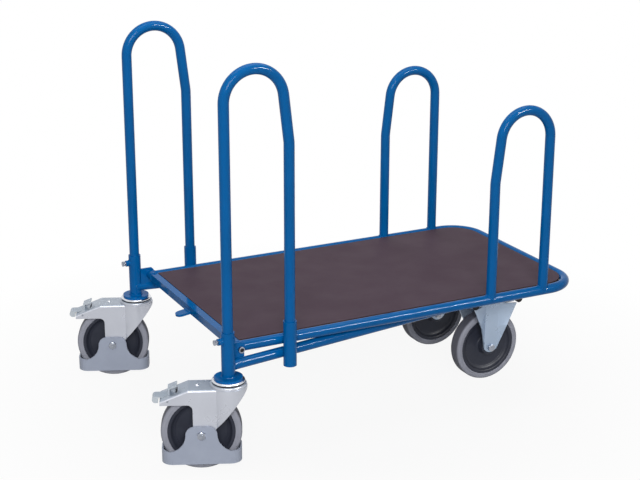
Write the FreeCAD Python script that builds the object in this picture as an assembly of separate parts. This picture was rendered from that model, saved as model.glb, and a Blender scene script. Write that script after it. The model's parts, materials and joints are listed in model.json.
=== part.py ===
import FreeCAD, Part
import math
import os

Vector = FreeCAD.Vector

# Frame tubes
tube = 26.9                     # outside diameter of the frame and hoop tubes
tube_wall = 2.3
socket_tube = 33.7              # outside diameter of the posts and side sockets
hoop_play = 0.3                 # radial clearance of a plug-in leg in its socket
seat_gap = 0.3                  # gap between two bodies that rest on each other
running_play = 0.05             # radial clearance of a turning fit
weld_bite = 1.2                 # depth by which one tube is notched to seat on another

# Hoops
hoop_spacing = 652.0            # between the planes of the two front hoops
hoop_span = 167.0               # between the two legs of a hoop
front_hoop_top = 1003.0         # floor to the top of a front hoop
rear_hoop_top = 817.0           # floor to the top of a rear hoop
hoop_crank_drop = 198.0         # top of a hoop to the bend of its cranked leg
hoop_lean = 6.7                 # degrees by which the cranked leg leans in above its bend
crank_bend = 60.0               # bend radius of the cranked leg

# Posts, side sockets and clamp screws
post_height = 115.0             # flange to the mouth of the sockets
side_socket_length = 117.0
flange_diameter = 71.0
flange_thickness = 6.0
leg_stop = 8.0                  # lower end of the cranked leg above the end of its socket
clamp_drop = 22.0               # mouth of the post to the clamp screw
clamp_diameter = 8.0
clamp_boss_diameter = 17.0
clamp_boss_length = 10.0
clamp_neck = 4.0                # bare shank between the boss and the screw head
clamp_head_height = 6.0
clamp_head_flats = 13.0

# Deck
swing_gap = 3.7                 # between the deck tube and the sockets that it swings past
pivot_setback = 40.0            # post axis to the deck pivot
deck_length = 1024.0            # deck pivot to the axis of the end tube
corner_bend = 90.0
deck_clearance = 6.8            # deck tube above the chassis tube
rest_foot = 30.0                # sides of the feet on which the deck rests on the chassis tubes
panel_thickness = 12.0
panel_gap = 0.5
panel_rise = 11.3               # top of the panel above the deck tube's axis
cross_bar = 20.0                # side of the square front cross member
cross_bar_wall = 2.0
bearer_width = 40.0
bearer_thickness = 5.0
bearer_count = 4
bearer_end_inset = 70.0         # axis of the last bearer from the end tube's axis
screw_diameter = 5.0
screw_bite = 8.0                # depth of a panel screw in the panel
screw_head = 10.0
screw_head_height = 3.0
screws_per_bearer = 3
screw_inset = 90.0              # outer screws from the panel's side
rear_hoop_setback = 117.0       # end tube axis to the straight leg of a rear hoop
tab_width = 30.0
tab_thickness = 6.0
tab_reach = 36.0
tab_slope = 8.0                 # degrees below level
tab_offset = 5.0                # tab's middle beside the deck's middle line

# Deck pivot
bracket_gap = 2.5               # between the deck tube and the bracket plate
bracket_thickness = 5.0
bracket_rise = 19.0             # plate above the pivot axis
bracket_lug = 9.0               # plate behind the pivot axis
bracket_chamfer = 6.0
bracket_root = 10.0             # post axis to the plate's edge in the notch of the post
pivot_bolt = 10.0
pivot_head = 16.0
pivot_head_height = 8.0
pivot_key = 8.0                 # flats of the key socket in the bolt head
pivot_key_depth = 5.0
pivot_engage = 25.0             # pivot bolt inside its sleeve

# Chassis
chassis_length = 938.0          # post axis to the rear end of the chassis tubes
chassis_rear_spacing = 362.0    # between the chassis tubes at their rear ends
cross_tube = 21.3               # outside diameter of the cross tubes over the fixed casters
cross_tube_wall = 2.6
cross_tube_length = 400.0
cross_tube_spacing = 142.0
cross_notch = 4.5               # depth by which the chassis tubes are notched over the cross tubes
carrier_thickness = 5.0         # carrier plates between the cross tubes
carrier_width = 82.0
plug_lip = 3.0
plug_depth = 14.0

# Wheels and casters
wheel_diameter = 200.0
tyre_width = 40.0
tyre_thickness = 16.5
tyre_shoulder = 8.0
rim_lip = 36.0                  # width of the rim under the tyre
rim_lip_depth = 9.0
web_thickness = 13.0
web_blend = 3.0                 # slopes that join the web to the hub and to the lip
hub_diameter = 50.0
hub_chamfer = 2.0
hub_side_gap = 1.5              # between the hub and the fork
bearing_diameter = 26.0
axle_diameter = 12.0
axle_flats = 19.0
axle_head = 7.5
axle_nut = 10.0
caster_head_room = 32.0         # top of a wheel to the face that the caster carries
fork_side_gap = 11.0            # between the tyre and a fork leg
fork_plate = 4.0

# Swivel casters
swivel_rest_turn = -23.5        # degrees; how the casters stand in the rest position
trail = 68.0
race_diameter = 83.0
race_height = 8.0
crown_diameter = 90.0
crown_height = 7.5
crown_round = 4.0
ball_diameter = 6.0
ball_circle = 64.0
ball_count = 16
king_bolt = 12.0
king_flats = 18.0
king_head = 7.5
king_nut = 10.0
leg_radius = 20.0               # round end of a fork leg about the axle
arm_flat = 31.0                 # axle to the bend of the fork's arm
arm_reach = 99.5                # axle to the end of the fork's arm
arm_drop = 27.6                 # height lost over the sloping part of the arm
arm_lip = 10.5                  # side wall left at the end of the arm
arm_edge = 5.0                  # rounding of the fork's upper edges
window_corner = 14.0            # rounding of the opening behind a fork leg
nose_radius = 46.0              # round bearing housing of the fork, about the swivel axis
nose_depth = 7.0                # skirt of the fork at its front

# Brakes
brake_pin = 6.0
brake_pin_reach = 80.0          # axle to the brake pin
brake_pin_depth = 7.0           # arm's surface to the brake pin
brake_width = 30.0
brake_eye = 12.0
brake_side_play = 2.0           # between the pedal and its window in the arm
brake_plate = 3.2
brake_window = 14.0             # pin to the outer end of the pedal's window
brake_flap = 30.0               # pin to the bend of the release flap
brake_flap_height = 5.4         # top of the release flap above the pin
brake_nose = 8.6                # radius of that flap's round toe
brake_toe = 6.0                 # flat part of the toe, behind its round end
brake_tail = 22.0               # pin to the inner end of the shoe
brake_shoe_length = 12.0
brake_shoe_depth = 9.9
brake_pad_rise = 23.0           # top of the press pad above the pin
brake_pad_start = 9.5           # pin to the outer edge of the press pad
brake_pad_end = 32.8            # pin to the inner edge of the press pad

# Foot guards
guard_clearance = 1.0           # between the guard and the fork
guard_wall = 4.0
guard_length = 197.0
guard_corner = 28.0
guard_lift = 22.0               # floor to the guard's lower edge
guard_band = 34.0               # height of the guard's band
guard_neck = 78.0               # width of the guard's side plate at the axle
guard_shoulder = 22.0           # height above the axle, and the rounding, of that plate
guard_foot = 146.0              # width of that plate where it meets the band

# Fixed casters
rear_axle_setback = 865.0       # post axis to the fixed axles
rear_track = 282.0
plate_length = 140.0
plate_width = 78.0
plate_thickness = 4.0
plate_bolt_length = 88.0        # lengthwise spacing of the plate's bolts
plate_bolt_width = 40.0
plate_bolt = 10.0
plate_bolt_flats = 16.0
plate_bolt_head = 6.4
plate_nut = 8.0
leg_flat = 42.0                 # width of a fixed fork leg's flat middle
leg_foot = 44.0                 # width of the leg at the axle
leg_waist = 82.0                # width half-way up
leg_top = 138.0                 # width under the plate
leg_waist_flare = 15.0          # how far the leg's edges stand out half-way up
leg_top_flare = 18.0            # and under the plate
leg_end = 14.0                  # axle to the leg's lower end

# Values that follow from the sizes above
tube_r = tube / 2
socket_r = socket_tube / 2
socket_bore = tube + 2 * hoop_play
wheel_r = wheel_diameter / 2
caster_height = wheel_diameter + caster_head_room
flange_top = caster_height + flange_thickness
socket_top = flange_top + post_height
side_socket_foot = socket_top - side_socket_length
chassis_z = caster_height + cross_tube - cross_notch + tube_r
deck_z = chassis_z + tube + deck_clearance
hoop_y = hoop_spacing / 2
deck_y = hoop_y - socket_r - swing_gap - tube_r
bracket_inner = deck_y + tube_r + bracket_gap
bracket_outer = bracket_inner + bracket_thickness
deck_end = pivot_setback + deck_length
panel_top = deck_z + panel_rise
panel_under = panel_top - panel_thickness
fork_inner = tyre_width / 2 + fork_side_gap
fork_outer = fork_inner + fork_plate
guard_inner = fork_outer + guard_clearance
guard_outer = guard_inner + guard_wall

X = Vector(1, 0, 0)
Y = Vector(0, 1, 0)
Z = Vector(0, 0, 1)
ORIGIN = Vector(0, 0, 0)
parts = {}


def box(low, high):
    return Part.makeBox(high.x - low.x, high.y - low.y, high.z - low.z, low)


def rod(diameter, length, base, axis):
    return Part.makeCylinder(diameter / 2, length, base, axis)


def ring(outside, bore, length, base, axis):
    return rod(outside, length, base, axis).cut(rod(bore, length, base, axis))


def plate(edges, thickness):
    """Extrude a closed outline of edges along the thickness vector."""
    return Part.Face(Part.Wire(Part.__sortEdges__(edges))).extrude(thickness)


def polygon(points, thickness):
    return Part.Face(Part.makePolygon(points + points[:1])).extrude(thickness)


def hexagon(flats, height, base, axis):
    radius = flats / math.sqrt(3)
    across = Z if abs(axis.z) < 0.5 else X
    points = []
    for corner in range(6):
        turn = FreeCAD.Rotation(axis, 60 * corner)
        points.append(base + turn.multVec(across * radius))
    return polygon(points, axis * height)


def bolt(diameter, flats, head, length, base, axis):
    """A hexagon bolt: base is the middle of the seat, axis points along the shank."""
    return hexagon(flats, head, base, axis * -1).fuse(rod(diameter, length, base, axis)).removeSplitter()


def nut(diameter, flats, height, base, axis):
    return hexagon(flats, height, base, axis).cut(rod(diameter, height, base, axis))


def swept(path, diameter):
    start = path.OrderedVertexes[0].Point
    first = path.OrderedEdges[0]
    profile = Part.Wire(Part.makeCircle(diameter / 2, start, first.tangentAt(first.FirstParameter)))
    return path.makePipeShell([profile], True, False)


def bent_tube(path):
    return swept(path, tube).cut(swept(path, tube - 2 * tube_wall))


def turned(outline, axle):
    """Revolve a closed outline of (sideways, radius) points about an axle along Y."""
    points = [Vector(0, side, radius) for side, radius in outline]
    solid = Part.Face(Part.makePolygon(points + points[:1])).revolve(ORIGIN, Y, 360)
    solid.translate(axle)
    return solid


def mirrored(shape):
    return shape.mirror(ORIGIN, Y)


def both_sides(name, shape):
    parts[name + "_left"] = shape
    parts[name + "_right"] = mirrored(shape)


def pair(shape):
    return Part.makeCompound([shape, mirrored(shape)])


def group(shapes):
    return Part.makeCompound(shapes)


# Hoops: a straight leg, a half-round crown and a cranked leg
def hoop(straight_x, inwards, y, top, straight_foot, cranked_foot):
    """The crown's radius is the one that joins the straight leg to the leaning one."""
    lean = math.radians(hoop_lean)
    top_axis = top - tube_r
    kink = top - hoop_crank_drop
    spread = hoop_span - math.tan(lean) * (top_axis - kink)
    crown = spread / (1 + math.cos(lean) + math.tan(lean) * (math.sin(lean) - 1))
    crown_z = top_axis - crown
    bend = crank_bend * math.tan(lean / 2)

    def point(across, z):
        return Vector(straight_x + inwards * across, y, z)

    tangent = point(crown * (1 + math.cos(lean)), crown_z + crown * math.sin(lean))
    bend_top = point(hoop_span - bend * math.sin(lean), kink + bend * math.cos(lean))
    bend_in = crank_bend * (1 - math.cos(lean / 2))
    bend_middle = point(hoop_span - bend_in, kink - bend + crank_bend * math.sin(lean / 2))
    bend_foot = point(hoop_span, kink - bend)
    edges = [
        Part.LineSegment(point(0, straight_foot), point(0, crown_z)).toShape(),
        Part.Arc(point(0, crown_z), point(crown, top_axis), tangent).toShape(),
        Part.LineSegment(tangent, bend_top).toShape(),
        Part.Arc(bend_top, bend_middle, bend_foot).toShape(),
        Part.LineSegment(bend_foot, point(hoop_span, cranked_foot)).toShape(),
    ]
    return bent_tube(Part.Wire(edges))


# Deck: a bent tube round the panel, closed in front by a square cross member on two pivot sleeves
pivot = Vector(pivot_setback, 0, deck_z)
corner_x = deck_end - corner_bend
corner_y = deck_y - corner_bend
corner_cut = corner_bend * math.sqrt(0.5)
tube_start = pivot.x + weld_bite
deck_path = Part.Wire([
    Part.LineSegment(Vector(tube_start, deck_y, deck_z), Vector(corner_x, deck_y, deck_z)).toShape(),
    Part.Arc(
        Vector(corner_x, deck_y, deck_z),
        Vector(corner_x + corner_cut, corner_y + corner_cut, deck_z),
        Vector(deck_end, corner_y, deck_z),
    ).toShape(),
    Part.LineSegment(Vector(deck_end, corner_y, deck_z), Vector(deck_end, -corner_y, deck_z)).toShape(),
    Part.Arc(
        Vector(deck_end, -corner_y, deck_z),
        Vector(corner_x + corner_cut, -corner_y - corner_cut, deck_z),
        Vector(corner_x, -deck_y, deck_z),
    ).toShape(),
    Part.LineSegment(Vector(corner_x, -deck_y, deck_z), Vector(tube_start, -deck_y, deck_z)).toShape(),
])
deck_outside = swept(deck_path, tube)
sleeve_foot = deck_y - tube_r
sleeve_length = bracket_inner - seat_gap - sleeve_foot
sleeve_base = pivot + Y * sleeve_foot
sleeve = ring(tube, pivot_bolt + 2 * running_play, sleeve_length, sleeve_base, Y)
sleeve_outside = rod(tube, sleeve_length, sleeve_base, Y)
parts["deck_frame"] = bent_tube(deck_path).cut(sleeve_outside).cut(mirrored(sleeve_outside))
parts["pivot_sleeves"] = pair(sleeve)

half_bar = cross_bar / 2
hollow_bar = half_bar - cross_bar_wall
cross_member = box(
    Vector(pivot.x - half_bar, -sleeve_foot, deck_z - half_bar),
    Vector(pivot.x + half_bar, sleeve_foot, deck_z + half_bar),
)
cross_hollow = box(
    Vector(pivot.x - hollow_bar, -sleeve_foot, deck_z - hollow_bar),
    Vector(pivot.x + hollow_bar, sleeve_foot, deck_z + hollow_bar),
)
parts["deck_crossmember"] = cross_member.cut(cross_hollow)

tab_root = Vector(pivot.x, tab_offset, deck_z - half_bar + tab_thickness)
tab_end = tab_reach - tab_width / 2
tab = box(Vector(-tab_end, -tab_width / 2, -tab_thickness), Vector(0, tab_width / 2, 0))
tab = tab.fuse(rod(tab_width, tab_thickness, Vector(-tab_end, 0, -tab_thickness), Z)).removeSplitter()
tab.rotate(ORIGIN, Y, -tab_slope)
tab.translate(tab_root - X * half_bar)
parts["stop_tab"] = tab.cut(cross_member)

# Line of the chassis tubes: past the side sockets and in to the rear end
rear_point = Vector(chassis_length, chassis_rear_spacing / 2, chassis_z)
to_socket = Vector(hoop_span, hoop_y, chassis_z) - rear_point
beside_socket = socket_r + tube_r - weld_bite
heading = math.atan2(to_socket.y, to_socket.x) + math.asin(beside_socket / to_socket.Length)
chassis_way = Vector(math.cos(heading), math.sin(heading), 0)

# Panel on flat bearers, screwed on from below; the last but one has feet over the chassis tubes
panel_front = pivot.x + half_bar + panel_gap
panel_side = deck_y - tube_r - panel_gap
panel_end = deck_end - tube_r - panel_gap
panel_corner = corner_bend - tube_r - panel_gap
panel = box(Vector(panel_front, -panel_side, panel_under), Vector(panel_end, panel_side, panel_top))
panel = panel.makeFillet(panel_corner, [
    edge for edge in panel.Edges
    if abs(edge.CenterOfMass.x - panel_end) < 0.01 and abs(edge.tangentAt(edge.FirstParameter).z) > 0.9
])
bearer_first = pivot.x + half_bar + bearer_width / 2
bearer_step = (deck_end - bearer_end_inset - bearer_first) / (bearer_count - 1)
screw_step = 2 * (panel_side - screw_inset) / (screws_per_bearer - 1)
bearers = []
screws = []
for row in range(bearer_count):
    bearer_x = bearer_first + row * bearer_step
    bearer = box(
        Vector(bearer_x - bearer_width / 2, -deck_y, panel_under - bearer_thickness),
        Vector(bearer_x + bearer_width / 2, deck_y, panel_under),
    ).cut(deck_outside).cut(cross_member).cut(sleeve_outside).cut(mirrored(sleeve_outside))
    middle = max(bearer.Solids, key=lambda solid: solid.Volume)
    if row == bearer_count - 2:
        rest_y = rear_point.y + (bearer_x - rear_point.x) * chassis_way.y / chassis_way.x
        foot = box(
            Vector(bearer_x - rest_foot / 2, rest_y - rest_foot / 2, chassis_z + tube_r + seat_gap),
            Vector(bearer_x + rest_foot / 2, rest_y + rest_foot / 2, panel_under - bearer_thickness),
        )
        middle = middle.fuse(foot).fuse(mirrored(foot)).removeSplitter()
    for column in range(screws_per_bearer):
        screw_y = screw_inset - panel_side + column * screw_step
        seat = Vector(bearer_x, screw_y, panel_under - bearer_thickness)
        shank = rod(screw_diameter, bearer_thickness + screw_bite, seat, Z)
        head = rod(screw_head, screw_head_height, seat, Z * -1)
        # A foot that comes under a screw is drilled for its head
        middle = middle.cut(shank).cut(rod(screw_head + 2 * seat_gap, seat.z - chassis_z, seat, Z * -1))
        panel = panel.cut(shank)
        screws.append(head.fuse(shank).removeSplitter())
    bearers.append(middle)
parts["deck_bearers"] = group(bearers)
parts["deck_panel"] = panel
parts["panel_screws"] = group(screws)

rear_hoop = hoop(deck_end - rear_hoop_setback, -1, deck_y, rear_hoop_top, deck_z, deck_z)
both_sides("rear_hoop", rear_hoop.cut(deck_outside))

# Posts with flange discs, and the side sockets
post_axis = Vector(0, hoop_y, 0)
post_base = post_axis + Z * flange_top
clamp_z = socket_top - clamp_drop
clamp_hole = rod(clamp_diameter + 2 * running_play, hoop_y, Vector(0, hoop_y, clamp_z), X * -1)
flange = ring(flange_diameter, king_bolt, flange_thickness, post_axis + Z * caster_height, Z)
post_tube = ring(socket_tube, socket_bore, post_height, post_base, Z).cut(clamp_hole)
both_sides("post", flange.fuse(post_tube).removeSplitter())

side_axis = Vector(hoop_span, hoop_y, 0)
side_socket = ring(socket_tube, socket_bore, side_socket_length, side_axis + Z * side_socket_foot, Z)
both_sides("side_socket", side_socket)

front_hoop = hoop(0, 1, hoop_y, front_hoop_top, flange_top + seat_gap, side_socket_foot + leg_stop)
both_sides("front_hoop", front_hoop)

# Clamp screws in bosses welded on the back of the posts
boss_end = socket_r + clamp_boss_length
boss = rod(clamp_boss_diameter, boss_end, Vector(0, hoop_y, clamp_z), X * -1)
boss = boss.cut(rod(socket_tube, post_height, post_base, Z)).cut(clamp_hole)
parts["clamp_bosses"] = pair(boss)
clamp_seat = Vector(-boss_end - clamp_neck, hoop_y, clamp_z)
clamp_shank = boss_end + clamp_neck - tube_r - seat_gap
clamp_screw = bolt(clamp_diameter, clamp_head_flats, clamp_head_height, clamp_shank, clamp_seat, X)
both_sides("clamp_screw", clamp_screw)

# Cross tubes under the chassis tubes
cross_z = caster_height + cross_tube / 2
half_length = cross_tube_length / 2
cross_tubes = []
cross_outsides = []
plugs = []
for along in (-cross_tube_spacing / 2, cross_tube_spacing / 2):
    cross_base = Vector(rear_axle_setback + along, -half_length, cross_z)
    cross_bore = cross_tube - 2 * cross_tube_wall
    cross_tubes.append(ring(cross_tube, cross_bore, cross_tube_length, cross_base, Y))
    cross_outsides.append(rod(cross_tube, cross_tube_length + 2 * plug_lip, cross_base - Y * plug_lip, Y))
    cross_plug = rod(cross_tube, plug_lip, cross_base, Y * -1)
    plugs.append(cross_plug.fuse(rod(cross_bore, plug_depth, cross_base, Y)).removeSplitter())
    plugs.append(mirrored(plugs[-1]))
parts["cross_tubes"] = group(cross_tubes)

# Chassis tubes: each is notched round its post, its side socket and the cross tubes
chassis_run = chassis_length / -chassis_way.x
chassis_outside = rod(tube, chassis_run, rear_point, chassis_way)
chassis_tube = chassis_outside.cut(rod(tube - 2 * tube_wall, chassis_run, rear_point, chassis_way))
socket_outsides = rod(socket_tube, post_height, post_base, Z).fuse(
    rod(socket_tube, side_socket_length, side_axis + Z * side_socket_foot, Z))
chassis_tube = chassis_tube.cut(socket_outsides)
for cross_outside in cross_outsides:
    chassis_tube = chassis_tube.cut(cross_outside)
chassis_tube = max(chassis_tube.Solids, key=lambda solid: solid.Volume)
both_sides("chassis_tube", chassis_tube)

plug = rod(tube, plug_lip, rear_point, chassis_way * -1)
plug = plug.fuse(rod(tube - 2 * tube_wall, plug_depth, rear_point, chassis_way)).removeSplitter()
for cross_outside in cross_outsides:
    plug = plug.cut(cross_outside)
plugs += [plug, mirrored(plug)]
parts["tube_end_plugs"] = group(plugs)

# Deck pivot brackets and bolts
bracket_top = deck_z + bracket_rise
bracket_end = pivot.x + bracket_lug
bracket = polygon([
    Vector(bracket_root, bracket_inner, chassis_z),
    Vector(bracket_end, bracket_inner, chassis_z),
    Vector(bracket_end, bracket_inner, bracket_top - bracket_chamfer),
    Vector(bracket_end - bracket_chamfer, bracket_inner, bracket_top),
    Vector(bracket_root, bracket_inner, bracket_top),
], Y * bracket_thickness)
bracket = bracket.cut(rod(socket_tube, post_height, post_base, Z)).cut(chassis_outside)
bracket = bracket.cut(rod(pivot_bolt, hoop_y, pivot, Y))
both_sides("pivot_bracket", max(bracket.Solids, key=lambda solid: solid.Volume))

pivot_seat = pivot + Y * bracket_outer
pivot_screw = rod(pivot_head, pivot_head_height, pivot_seat, Y)
pivot_shank = rod(pivot_bolt, bracket_thickness + pivot_engage, pivot_seat, Y * -1)
pivot_screw = pivot_screw.fuse(pivot_shank).removeSplitter()
key_mouth = pivot_seat + Y * (pivot_head_height - pivot_key_depth)
parts["deck_pivot_bolts"] = pair(pivot_screw.cut(hexagon(pivot_key, pivot_key_depth, key_mouth, Y)))

# Carrier plates between the cross tubes, to which the fixed casters are bolted
rear_axle = Vector(rear_axle_setback, rear_track / 2, wheel_r)
carrier_top = caster_height + carrier_thickness
carrier = box(
    Vector(rear_axle.x - cross_tube_spacing / 2, rear_axle.y - carrier_width / 2, caster_height),
    Vector(rear_axle.x + cross_tube_spacing / 2, rear_axle.y + carrier_width / 2, carrier_top),
).cut(group(cross_outsides))
carrier = max(carrier.Solids, key=lambda solid: solid.Volume)
plate_under = caster_height - plate_thickness
plate_bolts = []
plate_nuts = []
bolt_length = plate_thickness + carrier_thickness + plate_nut
for along in (-plate_bolt_length / 2, plate_bolt_length / 2):
    for across in (-plate_bolt_width / 2, plate_bolt_width / 2):
        seat = Vector(rear_axle.x + along, rear_axle.y + across, plate_under)
        nut_seat = seat + Z * (plate_thickness + carrier_thickness)
        plate_bolts.append(bolt(plate_bolt, plate_bolt_flats, plate_bolt_head, bolt_length, seat, Z))
        plate_nuts.append(nut(plate_bolt, plate_bolt_flats, plate_nut, nut_seat, Z))
        carrier = carrier.cut(rod(plate_bolt, bolt_length, seat, Z))
parts["carrier_plates"] = pair(carrier)
parts["caster_bolts"] = pair(group(plate_bolts))
parts["caster_nuts"] = pair(group(plate_nuts))


# Wheels: a tyre on a dished rim that turns on a bearing sleeve
def add_wheel(name, place):
    axle = Vector(0, 0, wheel_r)
    rim_r = wheel_r - tyre_thickness
    half_hub = fork_inner - hub_side_gap
    half_web = web_thickness / 2
    half_lip = rim_lip / 2
    bearing_r = bearing_diameter / 2
    hub_r = hub_diameter / 2
    lip_r = rim_r - rim_lip_depth
    side = [
        (half_hub, bearing_r),
        (half_hub, hub_r - hub_chamfer),
        (half_hub - hub_chamfer, hub_r),
        (half_web + web_blend, hub_r),
        (half_web, hub_r + web_blend),
        (half_web, lip_r - 2 * web_blend),
        (half_lip - web_blend, lip_r),
        (half_lip, lip_r + web_blend),
        (half_lip, rim_r),
    ]
    rim = turned(side + [(-across, radius) for across, radius in reversed(side)], axle)
    half_tyre = tyre_width / 2
    tyre = ring(wheel_diameter, 2 * rim_r, tyre_width, axle - Y * half_tyre, Y)
    tyre = tyre.makeFillet(tyre_shoulder, [
        edge for edge in tyre.Edges
        if hasattr(edge.Curve, "Radius") and abs(edge.Curve.Radius - wheel_r) < 0.01
    ])
    bore = axle_diameter + 2 * running_play
    bearing = ring(bearing_diameter, bore, 2 * half_hub, axle - Y * half_hub, Y)
    parts["tyre_" + name] = place(tyre)
    parts["rim_" + name] = place(rim)
    parts["wheel_bearing_" + name] = place(bearing)


def axle_pieces(half_width):
    seat = Vector(0, -half_width, wheel_r)
    shank = 2 * half_width + axle_nut
    axle_bolt = bolt(axle_diameter, axle_flats, axle_head, shank, seat, Y)
    return axle_bolt, nut(axle_diameter, axle_flats, axle_nut, Vector(0, half_width, wheel_r), Y)


# Fixed casters: two legs with flared edges under a bolted plate
def fixed_fork():
    def section(z, width, flare):
        outside = [(-width / 2, fork_outer + flare), (-leg_flat / 2, fork_outer)]
        outside += [(-along, across) for along, across in reversed(outside)]
        inside = [(along, across - fork_plate) for along, across in reversed(outside)]
        points = [Vector(along, across, z) for along, across in outside + inside]
        return Part.makePolygon(points + points[:1])

    leg = Part.makeLoft([
        section(wheel_r, leg_foot, 0),
        section((wheel_r + plate_under) / 2, leg_waist, leg_waist_flare),
        section(plate_under, leg_top, leg_top_flare),
    ], True, True)
    foot_left = Vector(-leg_foot / 2, fork_inner, wheel_r)
    foot_right = Vector(leg_foot / 2, fork_inner, wheel_r)
    leg = leg.fuse(plate([
        Part.Arc(foot_left, Vector(0, fork_inner, wheel_r - leg_end), foot_right).toShape(),
        Part.LineSegment(foot_right, foot_left).toShape(),
    ], Y * fork_plate))
    top = box(
        Vector(-plate_length / 2, -plate_width / 2, plate_under),
        Vector(plate_length / 2, plate_width / 2, caster_height),
    )
    for along in (-plate_bolt_length / 2, plate_bolt_length / 2):
        for across in (-plate_bolt_width / 2, plate_bolt_width / 2):
            top = top.cut(rod(plate_bolt, plate_thickness, Vector(along, across, plate_under), Z))
    fork = top.fuse(leg).fuse(mirrored(leg))
    axle_hole = rod(axle_diameter, 4 * fork_outer, Vector(0, -2 * fork_outer, wheel_r), Y)
    return fork.cut(axle_hole).removeSplitter()


fixed_axles = []
fixed_nuts = []
for side, sign in (("left", 1), ("right", -1)):
    spot = Vector(rear_axle.x, sign * rear_axle.y, 0)

    def stand(shape, spot=spot):
        return shape.translated(spot)

    parts["fixed_fork_" + side] = stand(fixed_fork())
    add_wheel("rear_" + side, stand)
    axle_bolt, axle_end = axle_pieces(fork_outer)
    fixed_axles.append(stand(axle_bolt))
    fixed_nuts.append(stand(axle_end))
parts["fixed_axle_bolts"] = group(fixed_axles)
parts["fixed_axle_nuts"] = group(fixed_nuts)

# Swivel casters, drawn trailing straight back and then turned about their posts
race_foot = caster_height - race_height
crown_top = race_foot - seat_gap
fork_top = crown_top - crown_height
arm_slope = math.atan2(arm_drop, arm_reach - arm_flat)
brake_along = Vector(-math.cos(arm_slope), 0, -math.sin(arm_slope))
brake_up = Vector(-math.sin(arm_slope), 0, math.cos(arm_slope))
pin_sink = math.tan(arm_slope) * (brake_pin_reach - arm_flat) + brake_pin_depth / math.cos(arm_slope)
brake_axis = Vector(-trail - brake_pin_reach, 0, fork_top - pin_sink)
ball_middle = Z * (race_foot - seat_gap / 2)
ball_groove = Part.makeTorus(ball_circle / 2, ball_diameter / 2 + running_play, ball_middle, Z)


def behind(distance, z):
    """A point of the fork's side outline, at a distance behind the swivel axis."""
    return Vector(-distance, -fork_outer, z)


def fork_plan(half_width, radius):
    """The fork's plan: straight sides behind a round bearing housing about the swivel axis."""
    back = box(Vector(-trail - 2 * arm_reach, -half_width, 0), Vector(0, half_width, caster_height))
    return back.fuse(rod(2 * radius, caster_height, ORIGIN, Z)).removeSplitter()


def swivel_fork():
    front = -nose_radius
    skirt = fork_top - nose_depth
    to_front = math.atan2(skirt - wheel_r, front - trail)
    reach = math.hypot(skirt - wheel_r, front - trail)
    tangent = to_front + math.acos(leg_radius / reach)
    window_top = fork_top - arm_drop - arm_lip
    leg_back = trail + leg_radius
    corner = window_corner * math.sqrt(0.5)
    arm_end = trail + arm_reach
    window_end = behind(leg_back + window_corner, window_top)

    def round_end(angle):
        return behind(trail + leg_radius * math.cos(angle), wheel_r + leg_radius * math.sin(angle))

    outline = [
        Part.LineSegment(behind(front, fork_top), behind(front, skirt)).toShape(),
        Part.LineSegment(behind(front, skirt), round_end(tangent)).toShape(),
        Part.Arc(round_end(tangent), round_end((tangent + 2 * math.pi) / 2), round_end(0)).toShape(),
        Part.LineSegment(round_end(0), behind(leg_back, window_top - window_corner)).toShape(),
        Part.Arc(
            behind(leg_back, window_top - window_corner),
            behind(leg_back + window_corner - corner, window_top - window_corner + corner),
            window_end,
        ).toShape(),
        Part.LineSegment(window_end, behind(arm_end, window_top)).toShape(),
        Part.LineSegment(behind(arm_end, window_top), behind(arm_end, fork_top - arm_drop)).toShape(),
        Part.LineSegment(behind(arm_end, fork_top - arm_drop), behind(trail + arm_flat, fork_top)).toShape(),
        Part.LineSegment(behind(trail + arm_flat, fork_top), behind(front, fork_top)).toShape(),
    ]
    fork = plate(outline, Y * 2 * fork_outer)
    upper_edges = [
        edge for edge in fork.Edges
        if edge.CenterOfMass.z > fork_top - arm_drop and abs(edge.tangentAt(edge.FirstParameter).y) < 0.01
        and abs(abs(edge.CenterOfMass.y) - fork_outer) < 0.01
        and trail + arm_reach > -edge.CenterOfMass.x > trail / 4
    ]
    fork = fork.makeFillet(arm_edge, upper_edges).common(fork_plan(fork_outer, nose_radius))
    housing = plate(outline, Y * 2 * nose_radius).translated(Y * (fork_outer - nose_radius))
    housing = housing.common(rod(2 * nose_radius, caster_height, ORIGIN, Z))
    fork = fork.fuse(housing)
    under = fork_top - fork_plate
    past_end = 2 * arm_reach
    lost = math.tan(arm_slope) * (past_end - arm_flat)
    inside = polygon([
        Vector(crown_diameter, -nose_radius, under),
        Vector(-trail - arm_flat, -nose_radius, under),
        Vector(-trail - past_end, -nose_radius, under - lost),
        Vector(-trail - past_end, -nose_radius, 0),
        Vector(crown_diameter, -nose_radius, 0),
    ], Y * 2 * nose_radius)
    fork = fork.cut(inside.common(fork_plan(fork_inner, nose_radius - fork_plate)))
    crown = rod(crown_diameter, crown_height + fork_plate, Vector(0, 0, under), Z)
    rim_edges = [edge for edge in crown.Edges if edge.CenterOfMass.z > crown_top - 0.01]
    crown = crown.makeFillet(crown_round, rim_edges)
    fork = fork.fuse(crown).removeSplitter()
    fork = fork.cut(ball_groove).cut(rod(king_bolt + 2 * running_play, caster_height, ORIGIN, Z))
    fork = fork.cut(rod(axle_diameter, 2 * fork_outer, Vector(-trail, -fork_outer, wheel_r), Y))
    fork = fork.cut(rod(brake_pin, 2 * fork_outer, brake_axis - Y * fork_outer, Y))
    window_half = brake_width / 2 + brake_side_play
    window = box(
        Vector(brake_axis.x - brake_window, -window_half, fork_top - arm_drop - 2 * fork_plate),
        Vector(brake_axis.x + brake_tail + brake_side_play, window_half, fork_top),
    )
    return fork.cut(window)


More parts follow.
